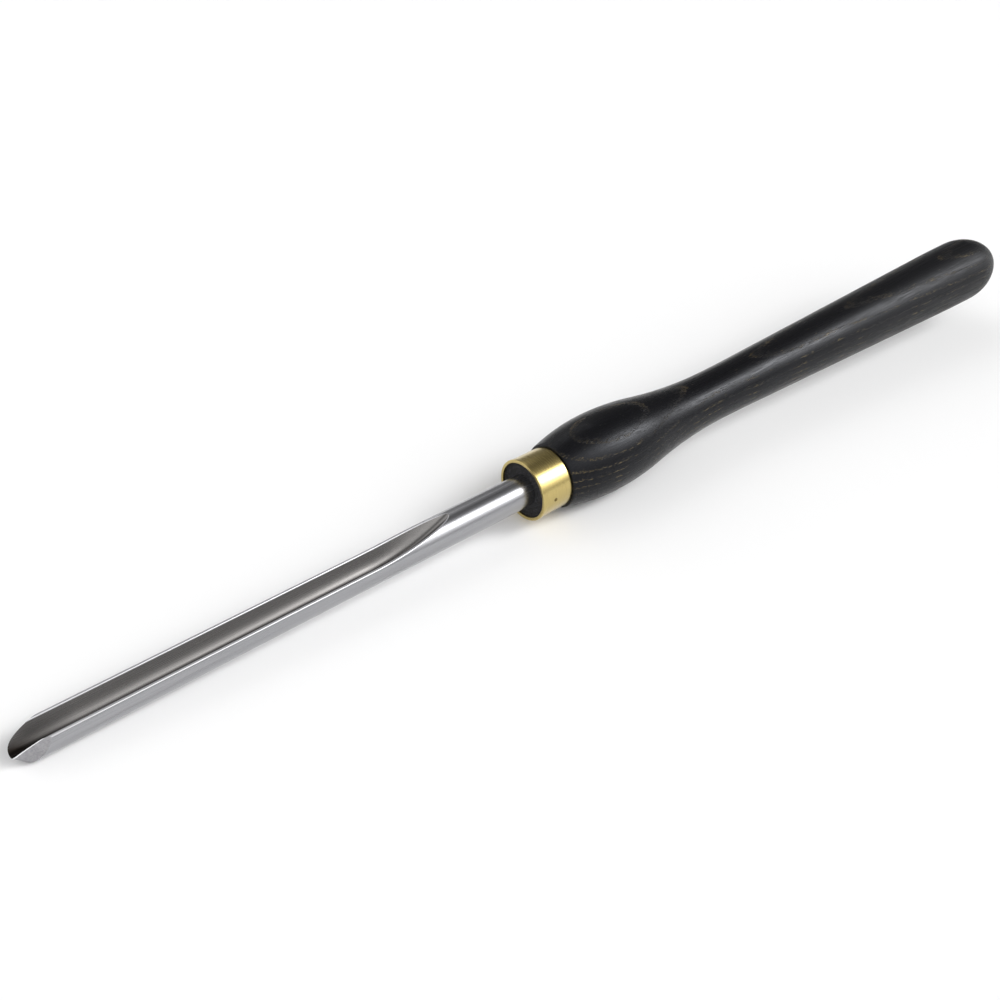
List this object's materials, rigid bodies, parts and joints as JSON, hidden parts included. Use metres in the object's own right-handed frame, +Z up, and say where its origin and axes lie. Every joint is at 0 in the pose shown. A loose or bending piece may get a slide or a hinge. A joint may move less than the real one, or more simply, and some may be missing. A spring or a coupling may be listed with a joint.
{
  "type": "bowl gouge",
  "caption": "Long-handled woodturning gouge: round fluted steel bar with swept-back nose, brass ferrule and black-stained turned ash handle.",
  "frame": {"origin": "on the surface that the tool lies on, midway between the nose and the butt", "axes": "+X from the nose towards the butt, +Z up out of the flute, +Y to the left of someone who looks from the nose to the butt"},
  "size_m": [0.6482, 0.0416, 0.0538],
  "materials": {
    "steel": "satin",
    "brass": "satin",
    "stained_ash": "satin"
  },
  "bodies": {
    "root": {"blade": "steel", "ferrule": "brass", "handle": "stained_ash"}
  },
  "joints": []
}
